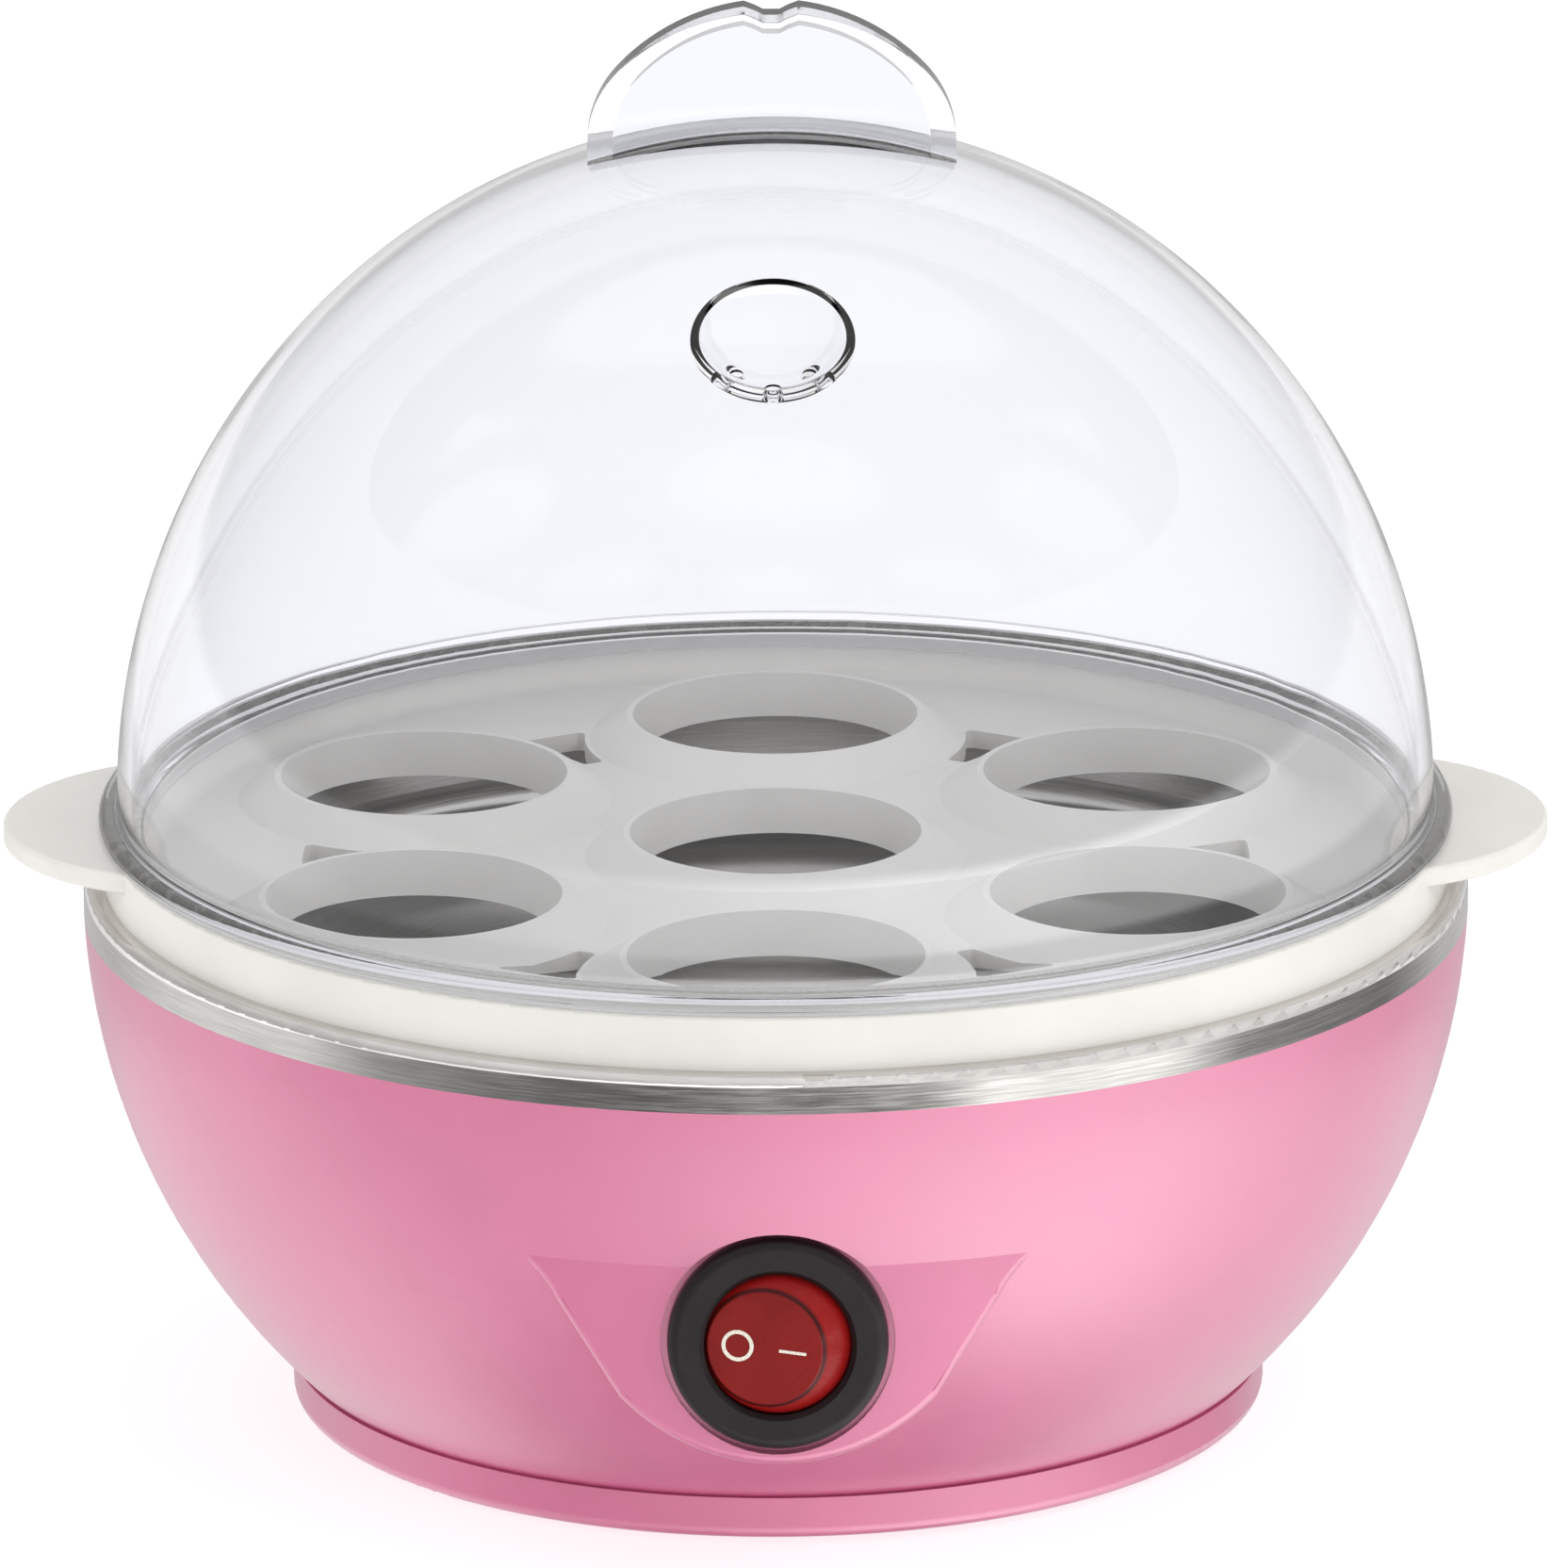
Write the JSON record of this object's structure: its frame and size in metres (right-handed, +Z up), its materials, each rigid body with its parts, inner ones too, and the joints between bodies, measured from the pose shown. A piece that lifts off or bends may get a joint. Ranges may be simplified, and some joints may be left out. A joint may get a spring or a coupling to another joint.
{
  "type": "egg cooker",
  "caption": "Round electric egg cooker: plastic bowl base with rocker switch, steel water pan, eared egg tray with seats and vents, clear dome lid with a fin handle.",
  "frame": {"origin": "on the surface the cooker stands on, under the middle of its bounding box, which is the bowl's axis", "axes": "+Z up; +X to the cooker's own right seen from the front, along the tray's ears; the switch faces -Y"},
  "size_m": [0.165, 0.148, 0.1535],
  "materials": {
    "pink_plastic": "glossy moulded polypropylene",
    "rubber": "matt",
    "zinc_steel": "zinc plated steel",
    "stainless_steel": "polished stainless sheet",
    "silicone": "soft matt",
    "aluminium": "milled",
    "element_steel": "oxidised sheath",
    "phenolic": "matt moulding",
    "brass": "bright",
    "black_plastic": "satin black moulding",
    "sleeve_clear": "translucent sleeve",
    "red_plastic": "translucent dark red",
    "mark_white": "printed",
    "spring_steel": "bright wire",
    "lamp_glass": "clear",
    "black_nylon": "satin",
    "block_nylon": "natural nylon",
    "glass_sleeve": "braided glass fibre",
    "white_plastic": "off-white moulded polypropylene",
    "clear_plastic": "clear moulded polystyrene",
    "lead_brown": "wire insulation",
    "lead_black": "wire insulation",
    "lead_blue": "wire insulation",
    "lead_green": "wire insulation"
  },
  "bodies": {
    "base": {"base_shell": "pink_plastic", "bottom_cover": "pink_plastic", "bracket_nuts": "zinc_steel", "bracket_studs": "zinc_steel", "cord_gland": "black_nylon", "cover_screws": "zinc_steel", "earth_lead": "lead_green", "earth_tag": "brass", "fuse_lead": "lead_black", "fuse_sleeve": "glass_sleeve", "heat_spreader": "aluminium", "heater_lead": "lead_black", "heating_element": "element_steel", "heating_pan": "stainless_steel", "lamp_lead": "lead_blue", "live_lead": "lead_brown", "neutral_lead": "lead_blue", "pan_nuts": "zinc_steel", "pan_seal": "silicone", "pan_studs": "zinc_steel", "rubber_feet": "rubber", "spade_sleeves": "sleeve_clear", "switch_housing": "black_plastic", "switch_lead": "lead_black", "switch_terminals": "brass", "terminal_block": "block_nylon", "thermal_fuse": "brass", "thermostat_body": "phenolic", "thermostat_bracket": "zinc_steel", "thermostat_cap": "aluminium", "thermostat_terminals": "brass"},
    "egg_tray": {"egg_tray": "white_plastic"},
    "lid": {"lid": "clear_plastic"},
    "rocker": {"rocker": "red_plastic", "rocker_marks": "mark_white", "rocker_plunger": "phenolic", "rocker_spring": "spring_steel", "indicator_lamp": "lamp_glass"},
    "contact_blade": {"contact_blade": "brass"}
  },
  "joints": [
    {"name": "tray_lift", "type": "slide", "parent": "base", "child": "egg_tray", "axis": [0, 0, 1], "range_m": [0, 0.07]},
    {"name": "lid_lift", "type": "slide", "parent": "egg_tray", "child": "lid", "axis": [0, 0, 1], "range_m": [0, 0.1]},
    {"name": "rocker_tilt", "type": "hinge", "parent": "base", "child": "rocker", "pos_m": [0, -0.0662, 0.0288], "axis": [0, 0, 1], "range_deg": [0, 24]},
    {"name": "contact_tilt", "type": "hinge", "parent": "base", "child": "contact_blade", "pos_m": [0, -0.0596, 0.0288], "axis": [0, 0, 1], "range_deg": [-14, 0]}
  ],
  "couplings": [
    {"joint": "contact_tilt", "follows": "rocker_tilt", "ratio": -0.58}
  ]
}
